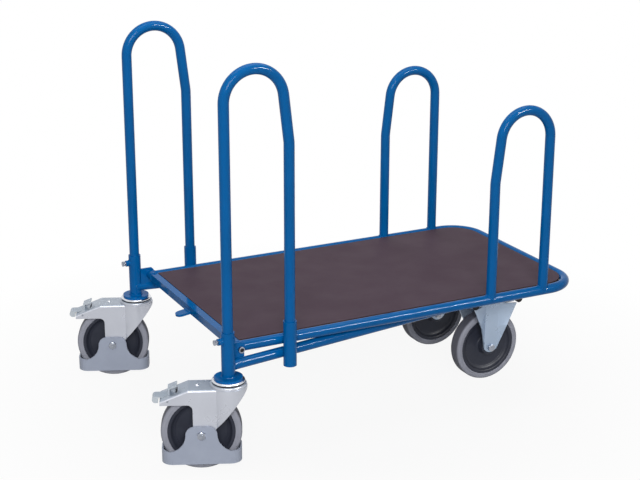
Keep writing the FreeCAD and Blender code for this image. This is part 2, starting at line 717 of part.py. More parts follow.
def brake_pedal():
    """A release flap with a round toe, a press pad on a stem and a shoe over the tyre, on one eye."""
    side = Y * (-brake_width / 2)
    eye_r = brake_eye / 2

    def level(out, up):
        return brake_axis - X * out + Z * up + side

    def sloped(along, up):
        return brake_axis + brake_along * along + brake_up * up + side

    flap_under = brake_flap_height - brake_plate
    roll_z = brake_flap_height - brake_nose
    roll_foot = roll_z - brake_nose
    toe_back = brake_flap - brake_toe
    flap_start = level(brake_window, brake_flap_height)
    flap_bend = level(brake_flap, brake_flap_height)
    flap = plate([
        Part.LineSegment(level(0, 0), level(brake_window, flap_under)).toShape(),
        Part.LineSegment(level(brake_window, flap_under), level(toe_back, flap_under)).toShape(),
        Part.LineSegment(level(toe_back, flap_under), level(toe_back, roll_foot)).toShape(),
        Part.LineSegment(level(toe_back, roll_foot), level(brake_flap, roll_foot)).toShape(),
        Part.Arc(
            level(brake_flap, roll_foot),
            level(brake_flap + brake_nose, roll_z),
            flap_bend,
        ).toShape(),
        Part.LineSegment(flap_bend, flap_start).toShape(),
        Part.LineSegment(flap_start, level(0, eye_r)).toShape(),
        Part.LineSegment(level(0, eye_r), level(0, 0)).toShape(),
    ], Y * brake_width)
    stem = polygon([
        sloped(-brake_plate, 0),
        sloped(-brake_pad_start, brake_pad_rise),
        sloped(-brake_pad_end, brake_pad_rise),
        sloped(-brake_pad_end, brake_pad_rise - brake_plate),
        sloped(-brake_pad_start - brake_plate, brake_pad_rise - brake_plate),
        sloped(-2 * brake_plate, 0),
    ], Y * brake_width)
    tail = polygon([
        sloped(0, eye_r),
        sloped(-brake_tail, eye_r),
        sloped(-brake_tail, -brake_shoe_depth),
        sloped(brake_shoe_length - brake_tail, -brake_shoe_depth),
        sloped(brake_shoe_length - brake_tail, 0),
        sloped(0, 0),
    ], Y * brake_width)
    eye = rod(brake_eye, brake_width, brake_axis + side, Y)
    pedal = eye.fuse(flap).fuse(stem).fuse(tail)
    return pedal.cut(rod(brake_pin + 2 * running_play, brake_width, brake_axis + side, Y)).removeSplitter()


def foot_guard():
    """A band round the foot of the wheel, hung on two side plates from the axle."""
    def band(half_length, half_width, corner):
        block = box(
            Vector(-trail - half_length, -half_width, guard_lift),
            Vector(-trail + half_length, half_width, guard_lift + guard_band),
        )
        return block.makeFillet(corner, [
            edge for edge in block.Edges if abs(edge.tangentAt(edge.FirstParameter).z) > 0.9
        ])

    half = guard_length / 2
    guard = band(half, guard_outer, guard_corner)
    guard = guard.cut(band(half - guard_wall, guard_inner, guard_corner - guard_wall))
    band_top = guard_lift + guard_band

    def spot(across, z):
        return Vector(across - trail, guard_inner, z)

    foot = guard_foot / 2
    neck = guard_neck / 2
    top_flat = neck - guard_shoulder
    top_z = wheel_r + guard_shoulder
    shoulder_cut = guard_shoulder * math.sqrt(0.5)
    flare_fall = wheel_r - band_top
    flare = (flare_fall ** 2 + (foot - neck) ** 2) / (2 * (foot - neck))
    half_sweep = math.asin(flare_fall / flare) / 2
    flare_middle = neck + flare * (1 - math.cos(half_sweep))
    flare_middle_z = wheel_r - flare * math.sin(half_sweep)
    half_bell = plate([
        Part.LineSegment(spot(0, top_z), spot(top_flat, top_z)).toShape(),
        Part.Arc(
            spot(top_flat, top_z),
            spot(top_flat + shoulder_cut, wheel_r + shoulder_cut),
            spot(neck, wheel_r),
        ).toShape(),
        Part.Arc(spot(neck, wheel_r), spot(flare_middle, flare_middle_z), spot(foot, band_top)).toShape(),
        Part.LineSegment(spot(foot, band_top), spot(foot, guard_lift)).toShape(),
        Part.LineSegment(spot(foot, guard_lift), spot(0, guard_lift)).toShape(),
        Part.LineSegment(spot(0, guard_lift), spot(0, top_z)).toShape(),
    ], Y * guard_wall)
    bell = half_bell.fuse(half_bell.mirror(Vector(-trail, 0, 0), X)).removeSplitter()
    guard = guard.fuse(bell).fuse(mirrored(bell))
    axle_hole = rod(axle_diameter, 4 * guard_outer, Vector(-trail, -2 * guard_outer, wheel_r), Y)
    return guard.cut(axle_hole).removeSplitter()


races = []
king_bolts = []
for side, sign in (("left", 1), ("right", -1)):
    spot = Vector(0, sign * hoop_y, 0)

    def stand(shape, spot=spot):
        placed = shape.copy()
        placed.rotate(ORIGIN, Z, swivel_rest_turn)
        return placed.translated(spot)

    def stand_wheel(shape, stand=stand):
        return stand(shape.translated(X * -trail))

    parts["swivel_fork_" + side] = stand(swivel_fork())
    parts["foot_guard_" + side] = stand(foot_guard())
    parts["brake_pedal_" + side] = stand(brake_pedal())
    parts["brake_pin_" + side] = stand(rod(brake_pin, 2 * fork_outer, brake_axis - Y * fork_outer, Y))
    axle_bolt, axle_end = axle_pieces(guard_outer)
    parts["swivel_axle_bolt_" + side] = stand_wheel(axle_bolt)
    parts["swivel_axle_nut_" + side] = stand_wheel(axle_end)
    add_wheel("front_" + side, stand_wheel)
    balls = []
    for number in range(ball_count):
        angle = 2 * math.pi * number / ball_count
        outwards = Vector(math.cos(angle), math.sin(angle), 0)
        balls.append(stand(Part.makeSphere(ball_diameter / 2, outwards * (ball_circle / 2) + ball_middle)))
    parts["swivel_balls_" + side] = group(balls)
    race = ring(race_diameter, king_bolt, race_height, spot + Z * race_foot, Z)
    races.append(race.cut(ball_groove.translated(spot)))
    king_seat = spot + Z * (fork_top - fork_plate - seat_gap)
    king_length = flange_top + king_nut - king_seat.z
    king = bolt(king_bolt, king_flats, king_head, king_length, king_seat, Z)
    king_bolts.append(king)
    king_bolts.append(nut(king_bolt, king_flats, king_nut, spot + Z * flange_top, Z))
parts["swivel_races"] = group(races)
parts["king_bolts"] = group(king_bolts)

# The origin is on the floor, under the middle of the whole cart as it stands
whole = group(list(parts.values())).optimalBoundingBox(False, False)
shift = Vector(-(whole.XMin + whole.XMax) / 2, -(whole.YMin + whole.YMax) / 2, 0)
os.makedirs("parts", exist_ok=True)
for name, shape in parts.items():
    shape.translated(shift).exportStep("parts/" + name + ".step")
whole_size = [round(size, 2) for size in (whole.XLength, whole.YLength, whole.ZLength)]
print(len(parts), "nodes; cart", whole_size, "mm; lowest z", round(whole.ZMin, 4))
print("post axes at x", round(shift.x, 4), "middle plane at y", round(shift.y, 4))
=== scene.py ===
import json
import math

import bmesh
import bpy
from mathutils import Matrix, Vector

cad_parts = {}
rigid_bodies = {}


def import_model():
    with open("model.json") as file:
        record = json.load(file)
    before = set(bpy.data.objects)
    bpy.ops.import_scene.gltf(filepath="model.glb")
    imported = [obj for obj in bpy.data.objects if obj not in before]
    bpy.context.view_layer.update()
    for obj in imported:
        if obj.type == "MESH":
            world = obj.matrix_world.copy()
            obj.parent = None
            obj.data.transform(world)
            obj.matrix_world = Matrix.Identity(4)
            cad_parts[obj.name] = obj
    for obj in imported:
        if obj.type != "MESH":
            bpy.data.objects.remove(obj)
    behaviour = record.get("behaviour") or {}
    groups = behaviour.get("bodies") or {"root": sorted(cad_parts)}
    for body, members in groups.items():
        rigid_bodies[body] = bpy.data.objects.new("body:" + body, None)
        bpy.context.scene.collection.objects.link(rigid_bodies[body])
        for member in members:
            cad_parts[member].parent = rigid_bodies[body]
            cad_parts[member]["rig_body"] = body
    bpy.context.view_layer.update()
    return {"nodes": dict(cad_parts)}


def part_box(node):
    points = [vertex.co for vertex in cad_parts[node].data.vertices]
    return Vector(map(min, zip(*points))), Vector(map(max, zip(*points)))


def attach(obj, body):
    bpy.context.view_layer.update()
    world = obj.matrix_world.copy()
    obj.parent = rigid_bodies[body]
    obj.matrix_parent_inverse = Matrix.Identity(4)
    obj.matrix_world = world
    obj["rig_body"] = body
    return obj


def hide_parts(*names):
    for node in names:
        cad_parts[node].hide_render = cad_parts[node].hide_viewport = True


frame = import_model()

# Posts and side sockets
# Steel tube, 33.7 mm, with a flange disc welded under each post. The whole frame is powder
# coated in one glossy blue, with the slight orange peel of baked powder.


def sides(name):
    return [name + "_left", name + "_right"]


def linear(red, green, blue):
    """A colour as it is seen on a screen, 0 to 255, for a shader's socket."""
    seen = [value / 255 for value in (red, green, blue)]
    flat = [c / 12.92 if c <= 0.04045 else ((c + 0.055) / 1.055) ** 2.4 for c in seen]
    return (*flat, 1.0)


def set_or_link(tree, value, socket):
    if isinstance(value, bpy.types.NodeSocket):
        tree.links.new(value, socket)
    else:
        socket.default_value = value


def new_group(name, inputs, outputs):
    group = bpy.data.node_groups.new(name, "ShaderNodeTree")
    for label, kind, value in inputs:
        socket = group.interface.new_socket(label, in_out="INPUT", socket_type="NodeSocket" + kind)
        socket.default_value = value
    for label, kind in outputs:
        group.interface.new_socket(label, in_out="OUTPUT", socket_type="NodeSocket" + kind)
    entrance = group.nodes.new("NodeGroupInput")
    return group, entrance.outputs, group.nodes.new("NodeGroupOutput").inputs


def placed_group(tree, group, values):
    node = tree.nodes.new("ShaderNodeGroup")
    node.node_tree = group
    for label, value in values.items():
        set_or_link(tree, value, node.inputs[label])
    return node.outputs


def noise(tree, scale, detail, stretch=(1, 1, 1)):
    """A noise that stays on the piece when the piece moves."""
    place = tree.nodes.new("ShaderNodeTexCoord")
    grid = tree.nodes.new("ShaderNodeMapping")
    grid.inputs["Scale"].default_value = stretch
    grain = tree.nodes.new("ShaderNodeTexNoise")
    grain.inputs["Detail"].default_value = detail
    tree.links.new(place.outputs["Object"], grid.inputs["Vector"])
    tree.links.new(grid.outputs["Vector"], grain.inputs["Vector"])
    set_or_link(tree, scale, grain.inputs["Scale"])
    return grain.outputs["Fac"]


def spread(tree, value, low, high, start=0.35, end=0.65):
    """Stretch a value so that start to end becomes low to high."""
    ramp = tree.nodes.new("ShaderNodeMapRange")
    ramp.inputs["From Min"].default_value = start
    ramp.inputs["From Max"].default_value = end
    tree.links.new(value, ramp.inputs["Value"])
    set_or_link(tree, low, ramp.inputs["To Min"])
    set_or_link(tree, high, ramp.inputs["To Max"])
    return ramp.outputs["Result"]


def mixed(tree, factor, first, second):
    mix = tree.nodes.new("ShaderNodeMix")
    mix.data_type = "RGBA"
    set_or_link(tree, factor, mix.inputs[0])
    set_or_link(tree, first, mix.inputs[6])
    set_or_link(tree, second, mix.inputs[7])
    return mix.outputs[2]


cloudy, entry, exit_ = new_group(
    "cloudy colour",
    [("Colour", "Color", (1, 1, 1, 1)), ("Shade", "Color", (0, 0, 0, 1)),
     ("Patches per metre", "Float", 20.0)],
    [("Colour", "Color")],
)
patch = spread(cloudy, noise(cloudy, entry["Patches per metre"], 4.0), 0.0, 1.0)
cloudy.links.new(mixed(cloudy, patch, entry["Colour"], entry["Shade"]), exit_["Colour"])

handled, entry, exit_ = new_group(
    "handled gloss",
    [("Glossiest", "Float", 0.3), ("Dullest", "Float", 0.5), ("Patches per metre", "Float", 30.0)],
    [("Roughness", "Float")],
)
smear = noise(handled, entry["Patches per metre"], 6.0)
handled.links.new(spread(handled, smear, entry["Glossiest"], entry["Dullest"]), exit_["Roughness"])

skin, entry, exit_ = new_group(
    "fine skin", [("Grains per metre", "Float", 800.0)], [("Height", "Float")])
skin.links.new(noise(skin, entry["Grains per metre"], 2.0), exit_["Height"])


def finish(name, colour, shade, patches, gloss, grains, relief, metallic=0.0, mirror=0.5):
    """A finish whose colour, gloss and skin all vary a little over the piece."""
    material = bpy.data.materials.new(name)
    material.use_nodes = True
    tree = material.node_tree
    shader = tree.nodes["Principled BSDF"]
    shader.inputs["Metallic"].default_value = metallic
    shader.inputs["Specular IOR Level"].default_value = mirror
    tint = placed_group(tree, cloudy, {
        "Colour": linear(*colour), "Shade": linear(*shade), "Patches per metre": patches})
    wear = placed_group(tree, handled, {
        "Glossiest": gloss[0], "Dullest": gloss[1], "Patches per metre": 2 * patches})
    peel = placed_group(tree, skin, {"Grains per metre": grains})
    bump = tree.nodes.new("ShaderNodeBump")
    bump.inputs["Distance"].default_value = relief
    tree.links.new(tint["Colour"], shader.inputs["Base Color"])
    tree.links.new(wear["Roughness"], shader.inputs["Roughness"])
    tree.links.new(peel["Height"], bump.inputs["Height"])
    tree.links.new(bump.outputs["Normal"], shader.inputs["Normal"])
    return material


def coat(material, *names):
    for name in names:
        mesh = frame["nodes"][name].data
        mesh.materials.clear()
        mesh.materials.append(material)


def middle_of(node):
    low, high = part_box(node)
    return (low + high) / 2


blue_paint = finish(
    "blue_powder_coat", (2, 90, 154), (2, 86, 147), 12.0, (0.08, 0.12), 420.0, 0.000003,
    mirror=0.08)
coat(blue_paint, *sides("post"), *sides("side_socket"))

# Chassis tubes, cross tubes and carrier plates
# Two steel tubes run in from the posts to the fixed casters, over two thinner cross tubes with
# plates between them. The pivot brackets and clamp bosses on the posts share their blue coat.
coat(blue_paint, *sides("chassis_tube"), "cross_tubes", "carrier_plates")
coat(blue_paint, *sides("pivot_bracket"), "clamp_bosses")

# Plugs of the open tube ends
# Black moulded plastic, pushed into the chassis tubes and cross tubes.
black_plastic = finish(
    "black_plug_plastic", (28, 28, 33), (20, 20, 25), 60.0, (0.42, 0.6), 1500.0, 0.00003,
    mirror=0.2)
coat(black_plastic, "tube_end_plugs")

# Weld seams of the chassis
# Rippled steel beads, laid round each joint before coating, so they carry the same blue.


def piece(name, shape, material, slot, body, *replaced, crease=35):
    """Turn a finished shape into an object that rides on a body of the cart."""
    bmesh.ops.recalc_face_normals(shape, faces=shape.faces)
    mesh = bpy.data.meshes.new(name)
    shape.to_mesh(mesh)
    shape.free()
    mesh.materials.append(material)
    mesh.shade_smooth()
    mesh.set_sharp_from_angle(angle=math.radians(crease))
    made = bpy.data.objects.new(name, mesh)
    bpy.context.scene.collection.objects.link(made)
    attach(made, body)
    if replaced:
        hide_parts(*replaced)
    return made


def joined_rings(shape, rings, closed):
    """Faces between rings of points; the ends are closed unless the rings run round in a loop."""
    count = len(rings[0])
    pairs = list(zip(rings, rings[1:]))
    if closed:
        start = min(range(count), key=lambda k: (rings[0][k].co - rings[-1][0].co).length)
        pairs.append((rings[-1], rings[0][start:] + rings[0][:start]))
    for first, second in pairs:
        for k in range(count):
            shape.faces.new((first[k], first[(k + 1) % count], second[(k + 1) % count], second[k]))
    if not closed:
        shape.faces.new(rings[0])
        shape.faces.new(rings[-1])


def add_bead(shape, line, width, closed=False):
    """A weld bead along a line of points, with the ripple of a torch."""
    corners = 8
    rings = []
    side = None
    for number, point in enumerate(line):
        ahead = line[(number + 1) % len(line)] if closed or number + 1 < len(line) else point
        behind = line[number - 1] if closed or number else point
        way = (ahead - behind).normalized()
        if side is None:
            side = way.orthogonal()
        side = (side - way * side.dot(way)).normalized()
        other = way.cross(side)
        ripple = 1 + 0.16 * math.sin(1.9 * number) + 0.08 * math.sin(0.7 * number + 1)
        if not closed and number in (0, len(line) - 1):
            ripple *= 0.5
        radius = width / 2 * ripple
        ring = []
        for k in range(corners):
            angle = 2 * math.pi * k / corners
            off = side * math.cos(angle) + other * math.sin(angle)
            ring.append(shape.verts.new(point + off * radius))
        rings.append(ring)
    joined_rings(shape, rings, closed)


def turn_line(spot, count=56):
    return [Vector(spot(2 * math.pi * k / count)) for k in range(count)]


def straight_line(start, end, step=0.0014):
    count = max(2, round((end - start).length / step))
    return [start.lerp(end, k / count) for k in range(count + 1)]


UP = Vector((0, 0, 1))
tube_r = 0.01345
socket_r = 0.01685
seam = 0.0036
thin_seam = 0.003
bracket_seam = 0.0034
notch_seam = 0.0046
flange_thickness = 0.006
bracket_faces = (0.0155, 0.0105)
boss_r = 0.0085
half_carrier = 0.038
chassis_z = middle_of("chassis_tube_left").z
chassis_slope = 0.1482
chassis_rear = Vector((0.938, -0.145, 0))
seams = bmesh.new()
for side, sign in (("left", 1), ("right", -1)):
    post_low, post_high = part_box("post_" + side)
    post = (post_low + post_high) / 2
    foot_z = post_low.z + flange_thickness
    ring_r = socket_r + 0.0006
    add_bead(seams, turn_line(lambda t: (
        post.x + ring_r * math.cos(t), post.y + ring_r * math.sin(t), foot_z + 0.0005)), seam, True)

    # Chassis tube against the post
    way = Vector((-math.sqrt(1 - chassis_slope ** 2), sign * chassis_slope, 0))
    beside = Vector((-way.y, way.x, 0))
    rear = Vector((post.x + chassis_rear.x, post.y + sign * chassis_rear.y, chassis_z))

    def on_post(turn):
        start = rear + beside * (tube_r * math.cos(turn)) + UP * (tube_r * math.sin(turn))
        to_post = Vector((post.x - start.x, post.y - start.y, 0))
        run = to_post.dot(way)
        off = (to_post - way * run).length
        return start + way * (run - math.sqrt(max(socket_r ** 2 - off ** 2, 0)))

    add_bead(seams, turn_line(on_post), seam, True)

    # Side socket against the chassis tube
    socket = middle_of("side_socket_" + side)
    to_socket = Vector((socket.x - rear.x, socket.y - rear.y, 0))
    run = to_socket.dot(way)
    outwards = (to_socket - way * run).normalized()
    reach = (to_socket - way * run).length
    steepest = math.acos((reach - socket_r) / tube_r)

    def on_socket(turn):
        tilt = steepest * math.sin(turn)
        gap = reach - tube_r * math.cos(tilt)
        half = math.sqrt(max(socket_r ** 2 - gap ** 2, 0))
        end = half if math.cos(turn) > 0 else -half
        off = outwards * (tube_r * math.cos(tilt)) + UP * (tube_r * math.sin(tilt))
        return rear + way * (run + end) + off

    add_bead(seams, turn_line(on_socket, 40), seam, True)

    # Pivot bracket against the post, and the clamp screw's boss
    bracket_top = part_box("pivot_bracket_" + side)[1].z
    for inwards in bracket_faces:
        face = post.y - sign * inwards
        edge = post.x + math.sqrt(socket_r ** 2 - (face - post.y) ** 2)
        add_bead(seams, straight_line(
            Vector((edge, face, chassis_z + tube_r + 0.002)),
            Vector((edge, face, bracket_top - 0.001))), bracket_seam)
    boss_z = middle_of("clamp_bosses").z
    add_bead(seams, turn_line(lambda t: (
        post.x - math.sqrt(socket_r ** 2 - (boss_r * math.sin(t)) ** 2) - 0.0003,
        post.y + boss_r * math.sin(t), boss_z + boss_r * math.cos(t)), 40), thin_seam, True)

    # Cross tubes under the chassis tube, and the carrier plate between them
    cross_low, cross_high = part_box("cross_tubes")
    cross_r = (cross_high.z - cross_low.z) / 2
    rise = chassis_z - cross_low.z - cross_r
    notch_x = math.sqrt(cross_r ** 2 - (rise - tube_r) ** 2)
    notch_y = math.sqrt(tube_r ** 2 - (rise - cross_r) ** 2)
    wheel_y = middle_of("tyre_rear_" + side).y
    for cross_x, inwards in ((cross_low.x + cross_r, 1), (cross_high.x - cross_r, -1)):
        crossing = rear + way * ((cross_x - rear.x) / way.x)
        add_bead(seams, turn_line(lambda t: (
            crossing.x + notch_x * math.cos(t), crossing.y + notch_y * math.sin(t),
            (chassis_z - tube_r) * math.cos(t) ** 2 + cross_high.z * math.sin(t) ** 2), 36),
            notch_seam, True)
        plate_x = cross_x + inwards * 0.009
        plate_z = cross_low.z + 0.005
        add_bead(seams, straight_line(
            Vector((plate_x, wheel_y - half_carrier, plate_z)),
            Vector((plate_x, wheel_y + half_carrier, plate_z))), seam)
piece("chassis_welds", seams, blue_paint, "blue_paint", "chassis")

# Deck frame
# The chassis' 26.9 mm tube, bent round the deck, with a square bar between two pivot sleeves in
# front. Flat bearers below carry the board, and a small tab stops the lifted deck.
coat(blue_paint, "deck_frame", "pivot_sleeves", "deck_crossmember", "stop_tab", "deck_bearers")
deck_low, deck_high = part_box("deck_frame")
deck_z = (deck_low.z + deck_high.z) / 2
bar_low, bar_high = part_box("deck_crossmember")
pivot_x = (bar_low.x + bar_high.x) / 2
half_bar = (bar_high.z - bar_low.z) / 2
first_bearer = 0.030
last_bearer = 0.954
half_bearer = 0.017
seams = bmesh.new()
for sign in (1, -1):
    side_y = deck_high.y - tube_r if sign > 0 else deck_low.y + tube_r
    add_bead(seams, turn_line(lambda t: (
        pivot_x + math.sqrt(max(tube_r ** 2 - (tube_r * math.sin(t)) ** 2, 0)) + 0.0005,
        side_y + tube_r * math.cos(t), deck_z + tube_r * math.sin(t)), 48), seam, True)
    bar_end = bar_high.y if sign > 0 else bar_low.y
    corners = [Vector((pivot_x + x * half_bar, bar_end, deck_z + z * half_bar))
               for x, z in ((-1, 1), (1, 1), (1, -1), (-1, -1))]
    for corner, following in zip(corners, corners[1:] + corners[:1]):
        add_bead(seams, straight_line(corner, following), thin_seam)
    for row in range(4):
        bearer_x = pivot_x + first_bearer + row * (last_bearer - first_bearer) / 3
        under_z = deck_z - 0.0057
        edge_y = side_y - sign * 0.0124
        add_bead(seams, straight_line(
            Vector((bearer_x - half_bearer, edge_y, under_z)),
            Vector((bearer_x + half_bearer, edge_y, under_z))), seam)
tab_low, tab_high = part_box("stop_tab")
tab_z = bar_low.z + 0.006
add_bead(seams, straight_line(
    Vector((bar_low.x, tab_low.y, tab_z)), Vector((bar_low.x, tab_high.y, tab_z))), thin_seam)
piece("deck_welds", seams, blue_paint, "blue_paint", "deck")

# Deck panel and its screws
# Film-faced birch plywood, 12 mm, dark brown and faintly glossy with a fine wire imprint, its plies
# sealed with brown paint at the sawn edges. Zinc-plated screws hold it from below.
panel_film = finish(
    "brown_film_plywood", (75, 62, 71), (72, 59, 68), 6.0, (0.5, 0.58), 900.0, 0.00002, mirror=0.03)
tree = panel_film.node_tree
shader = tree.nodes["Principled BSDF"]
film = shader.inputs["Base Color"].links[0].from_socket
place = tree.nodes.new("ShaderNodeTexCoord")
split = tree.nodes.new("ShaderNodeSeparateXYZ")
tree.links.new(place.outputs["Object"], split.inputs[0])
plies = tree.nodes.new("ShaderNodeMath")
plies.operation = "PINGPONG"
plies.inputs[1].default_value = 0.0014
tree.links.new(split.outputs["Z"], plies.inputs[0])
ply_edge = spread(tree, plies.outputs[0], 0.0, 1.0, 0.0004, 0.0009)
layers = mixed(tree, ply_edge, linear(74, 57, 50), linear(52, 39, 36))
facing = tree.nodes.new("ShaderNodeSeparateXYZ")
tree.links.new(place.outputs["Normal"], facing.inputs[0])
flat = tree.nodes.new("ShaderNodeMath")
flat.operation = "ABSOLUTE"
tree.links.new(facing.outputs["Z"], flat.inputs[0])
on_face = spread(tree, flat.outputs[0], 0.0, 1.0, 0.4, 0.6)
tree.links.new(mixed(tree, on_face, layers, film), shader.inputs["Base Color"])
coat(panel_film, "deck_panel")
zinc = finish(
    "zinc_plating", (158, 162, 171), (138, 143, 153), 60.0, (0.2, 0.34), 900.0, 0.00001,
    metallic=1.0)
coat(zinc, "panel_screws")

# Rear hoops
# Bent from the deck's tube and welded upright on it, the front leg of each cranked.
coat(blue_paint, *sides("rear_hoop"))
seams = bmesh.new()
for hoop in sides("rear_hoop"):
    hoop_low, hoop_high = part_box(hoop)
    hoop_y = (hoop_low.y + hoop_high.y) / 2
    for leg_x in (hoop_low.x + tube_r, hoop_high.x - tube_r):
        add_bead(seams, turn_line(lambda t: (
            leg_x + (tube_r + 0.0006) * math.cos(t), hoop_y + (tube_r + 0.0004) * math.sin(t),
            deck_z + tube_r * abs(math.cos(t)) + 0.0004), 72), seam, True)
piece("rear_hoop_welds", seams, blue_paint, "blue_paint", "deck")

# Front hoops
# Taller hoops of the same tube, loose in the posts and side sockets, and lifted out by hand.
coat(blue_paint, *sides("front_hoop"))

# Clamp screws
# Zinc-plated hexagon screws through the posts' bosses, which hold the front hoops.


def add_hex(shape, seat, axis, flats, height):
    """A hexagon head or nut body with its corners turned off at 30 degrees."""
    per_flat = 6
    first = axis.orthogonal().normalized() if abs(axis.z) > 0.5 else UP
    second = axis.cross(first)
    crown = 0.475 * flats
    rings = [[], [], []]
    for k in range(6 * per_flat):
        angle = math.pi / 6 + 2 * math.pi * k / (6 * per_flat)
        within = (angle % (math.pi / 3)) - math.pi / 6
        out = first * math.cos(angle) + second * math.sin(angle)
        reach = flats / 2 / math.cos(within)
        top = height - (reach - crown) * math.tan(math.radians(30))
        places = (out * reach, out * reach + axis * top, out * crown + axis * height)
        for ring, place in zip(rings, places):
            ring.append(shape.verts.new(seat + place))
    joined_rings(shape, rings, False)


def add_turned(shape, outline, base, axis, steps=48, closed=False):
    """Turn an outline of (along, radius) points about an axis."""
    first = axis.orthogonal().normalized()
    second = axis.cross(first)
    rings = []
    for along, radius in outline:
        ring = []
        for k in range(steps):
            angle = 2 * math.pi * k / steps
            out = first * math.cos(angle) + second * math.sin(angle)
            ring.append(shape.verts.new(base + axis * along + out * radius))
        rings.append(ring)
    joined_rings(shape, rings, closed)


def thread(start, end, radius, pitch):
    """The outline of a threaded end, as ridges, with a chamfered tip."""
    outline = []
    count = max(1, round((end - start) / pitch))
    step = (end - start) / count
    for k in range(count):
        outline += [(start + k * step, 0.9 * radius), (start + (k + 0.5) * step, radius)]
    return outline + [(end, 0.86 * radius)]


ALONG = Vector((1, 0, 0))
clamp_flats = 0.013
clamp_head = 0.006
clamp_r = 0.004
for side in ("left", "right"):
    which = "clamp_screw_" + side
    low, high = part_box(which)
    centre = (low + high) / 2
    screw = bmesh.new()
    seat = Vector((low.x + clamp_head, centre.y, centre.z))
    add_hex(screw, seat, -ALONG, clamp_flats, clamp_head)
    shank = thread(0.0014, 0.0139, clamp_r, 0.00125) + [(high.x - seat.x, 0.9 * clamp_r)]
    collar = [(0, 0.0062), (0.0008, 0.0062), (0.0012, clamp_r)]
    add_turned(screw, collar + shank, seat, ALONG, 32)
    piece("clamp_screw_shown_" + side, screw, zinc, "zinc_steel", which, which)

# Deck pivot bolts
# Socket-head bolts, zinc plated, through the brackets into the deck's pivot sleeves. A black
# plastic cap closes each key socket, as painted shade of the socket's hollow.
ACROSS = Vector((0, 1, 0))
pivot_bolts = bmesh.new()
socket_shade_caps = bmesh.new()
low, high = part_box("deck_pivot_bolts")
head_r = 0.008
head_height = 0.008
key_r = 0.0048
for sign in (1, -1):
    out = ACROSS * sign
    tip = high.y if sign > 0 else low.y
    seat = Vector(((low.x + high.x) / 2, tip - sign * head_height, (low.z + high.z) / 2))
    add_turned(pivot_bolts, [
        (-0.03, 0.0047), (-0.0005, 0.005), (0, 0.0062), (0.0, 0.0078), (0.0006, head_r),
        (0.0068, head_r), (0.0076, 0.0076), (head_height, 0.0066), (head_height, 0.0054),
        (0.0076, 0.005), (0.0035, key_r),
    ], seat, out, 36)
    # Painted shade: a black cap deep in each key socket stands for the shade inside it.
    add_turned(socket_shade_caps, [
        (0.003, 0.0046), (0.0056, 0.0046), (0.006, 0.004), (0.006, 0.0026), (0.0054, 0.0022),
    ], seat, out, 24)
piece("pivot_bolts_shown", pivot_bolts, zinc, "zinc_steel", "chassis", "deck_pivot_bolts")
piece("pivot_bolt_socket_shade_caps", socket_shade_caps, black_plastic, "black_plastic", "chassis")

# Swivel bearings
# Ball races under the flange discs: a bright turned upper ring over a dark dust seal, which also
# paints the gap's shade under the ring, sixteen balls in a groove, and a king bolt through the
# middle.
chrome = finish(
    "bright_turned_steel", (222, 224, 230), (206, 209, 216), 50.0, (0.1, 0.2), 1200.0, 0.000005,
    metallic=1.0)
# A near-black seal: a real seal, and also painted shade for the gap under the race ring.
seal_and_gap_shade = finish(
    "dust_seal_and_gap_shade", (24, 24, 28), (18, 18, 22), 80.0, (0.5, 0.65), 1500.0, 0.00003, mirror=0.1)
race_ring = bmesh.new()
dust_seal = bmesh.new()
race_low, race_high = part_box("swivel_races")
race_r = (race_high.x - race_low.x) / 2
race_height = 0.008
race_bore = 0.030
seal_bore = 0.0295
for post in sides("post"):
    base = middle_of(post)
    base.z = race_high.z - race_height
    add_turned(race_ring, [
        (0.0030, race_bore), (0.0030, race_r - 0.0030), (0.0026, race_r - 0.0014),
        (0.0034, race_r - 0.0002), (0.0052, race_r), (0.0068, race_r - 0.0008),
        (0.0078, race_r - 0.0026), (race_height, race_r - 0.005), (race_height, race_bore),
    ], base, UP, 96, True)
    add_turned(dust_seal, [
        (0.0002, seal_bore), (0.0002, race_r - 0.0016), (0.0008, race_r - 0.0008),
        (0.0018, race_r - 0.0008), (0.0028, race_r - 0.0022), (0.0028, seal_bore),
    ], base, UP, 96, True)
piece("race_rings", race_ring, chrome, "bearing_steel", "chassis", "swivel_races")
piece("dust_seals", dust_seal, seal_and_gap_shade, "black_plastic", "chassis")
coat(chrome, *sides("swivel_balls"))
coat(zinc, "king_bolts")

# Swivel forks
# Pressed from 4 mm steel sheet and zinc plated: a round bearing housing under the crown, two legs
# down to the axle, and an arm behind that carries the brake, with one round-headed rivet on top.
rolled, entry, exit_ = new_group(
    "rolled sheet", [("Lines per metre", "Float", 300.0)], [("Height", "Float")])
rolled.links.new(noise(rolled, entry["Lines per metre"], 3.0, (0.15, 0.15, 1.0)), exit_["Height"])

# Painted shade: faces that look upwards are mixed towards a darker grey.
top_shade_group, entry, exit_ = new_group(
    "painted top shade",
    [("Colour", "Color", (1, 1, 1, 1)), ("Top shade", "Color", (0.3, 0.3, 0.3, 1))],
    [("Colour", "Color")],
)
place = top_shade_group.nodes.new("ShaderNodeTexCoord")
facing = top_shade_group.nodes.new("ShaderNodeSeparateXYZ")
top_shade_group.links.new(place.outputs["Normal"], facing.inputs[0])
upward_share = spread(top_shade_group, facing.outputs["Z"], 0.0, 0.75, 0.3, 0.9)
top_shade_group.links.new(mixed(top_shade_group, upward_share, entry["Colour"], entry["Top shade"]), exit_["Colour"])


